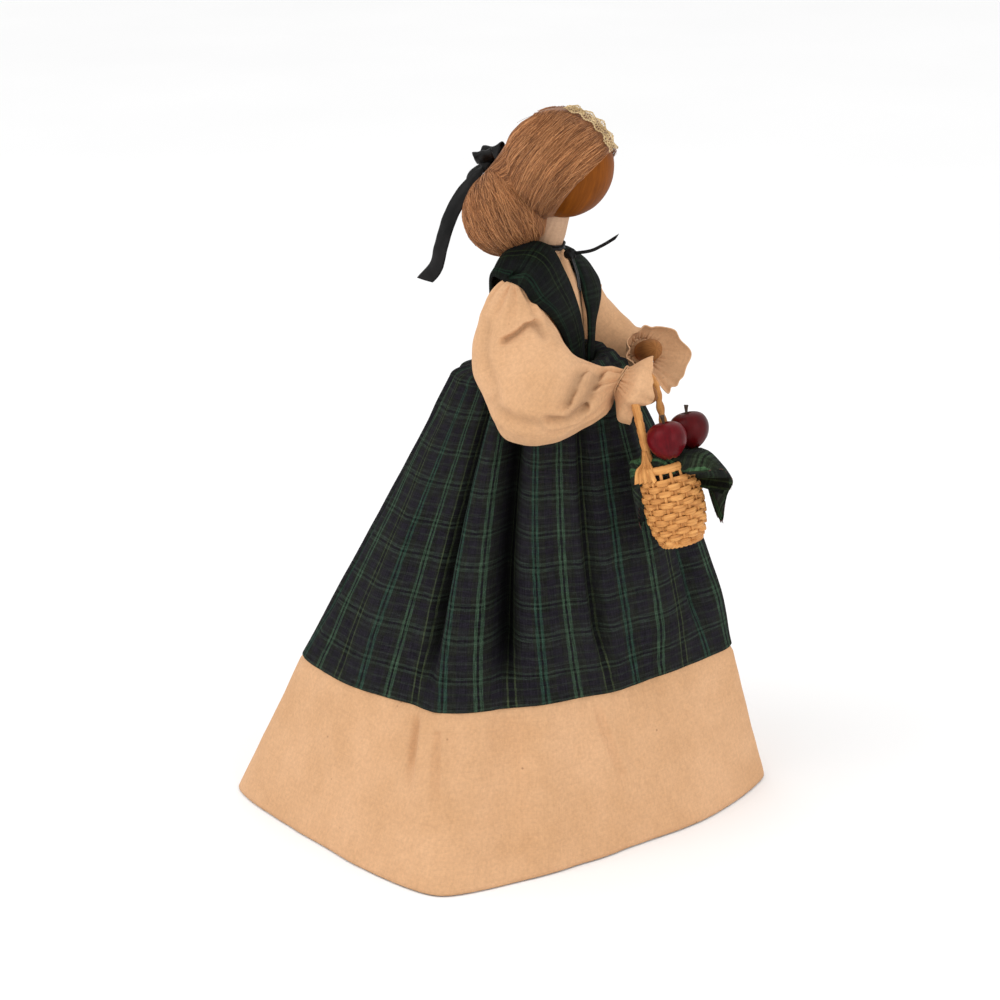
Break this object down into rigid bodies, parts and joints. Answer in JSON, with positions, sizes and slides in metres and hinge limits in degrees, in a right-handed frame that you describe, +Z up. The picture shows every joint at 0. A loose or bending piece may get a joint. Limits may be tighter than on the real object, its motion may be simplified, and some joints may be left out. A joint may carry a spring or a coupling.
{
  "type": "faceless folk art doll",
  "caption": "Standing faceless doll with a ball head, mohair bun, puffed sleeves, tartan skirt over a card cone, posable arms and a woven basket of apples hung on one hand",
  "frame": {"origin": "On the floor, at the middle of the base disc that the doll stands on", "axes": "+Z is up, the doll faces -Y and its right hand is on -X"},
  "size_m": [0.2032, 0.2008, 0.2783],
  "materials": {
    "card": "matte card",
    "wood_plug": "plain wood",
    "tartan": "woven cotton tartan",
    "muslin": "plain unbleached cotton",
    "wire": "plain wire",
    "neck": "plain cotton",
    "ribbon": "satin ribbon",
    "face": "stained, satin",
    "hair": "combed mohair",
    "lace": "crocheted lace",
    "hand": "stained, satin",
    "apple": "painted, gloss",
    "stem": "matte",
    "straw": "woven straw"
  },
  "bodies": {
    "doll": {"base_disc": "card", "body_cone": "card", "cone_plug": "wood_plug", "skirt_border": "muslin", "skirt": "tartan", "bodice": "muslin", "spine_wire": "wire", "waistband": "tartan", "vest_right": "tartan", "vest_left": "tartan", "neck_cover": "neck", "neck_ribbon": "ribbon", "neck_bow_knot": "ribbon", "neck_bow_tail_front": "ribbon", "neck_bow_tail_down": "ribbon", "head_ball": "face", "hair_cap": "hair", "hair_bun": "hair", "hair_lace": "lace", "hair_bow_knot": "ribbon", "hair_ribbon_tail_near": "ribbon", "hair_ribbon_tail_far": "ribbon", "hair_bow_loop_near": "ribbon", "hair_bow_loop_far": "ribbon"},
    "right_arm": {"right_sleeve": "muslin", "right_arm_wire": "wire", "right_hand": "hand", "right_cuff": "muslin", "right_wrist_tie": "muslin"},
    "left_arm": {"left_sleeve": "muslin", "left_arm_wire": "wire", "left_hand": "hand", "left_cuff": "muslin", "left_wrist_tie": "muslin"},
    "basket": {"basket_body": "straw", "basket_handle": "straw", "basket_rim": "straw", "napkin": "tartan", "apple_front": "apple", "apple_front_stem": "stem", "apple_rear": "apple", "apple_rear_stem": "stem"}
  },
  "joints": [
    {"name": "right_shoulder", "type": "hinge", "parent": "doll", "child": "right_arm", "pos_m": [-0.03, -0.012, 0.205], "axis": [1, 0, 0], "range_deg": [-40, 0]},
    {"name": "left_shoulder", "type": "hinge", "parent": "doll", "child": "left_arm", "pos_m": [0.03, -0.012, 0.205], "axis": [1, 0, 0], "range_deg": [-40, 0]},
    {"name": "basket_swing", "type": "hinge", "parent": "right_arm", "child": "basket", "pos_m": [-0.0195, -0.06153, 0.1824], "axis": [0.9744, -0.225, 0], "range_deg": [-30, 0]}
  ]
}
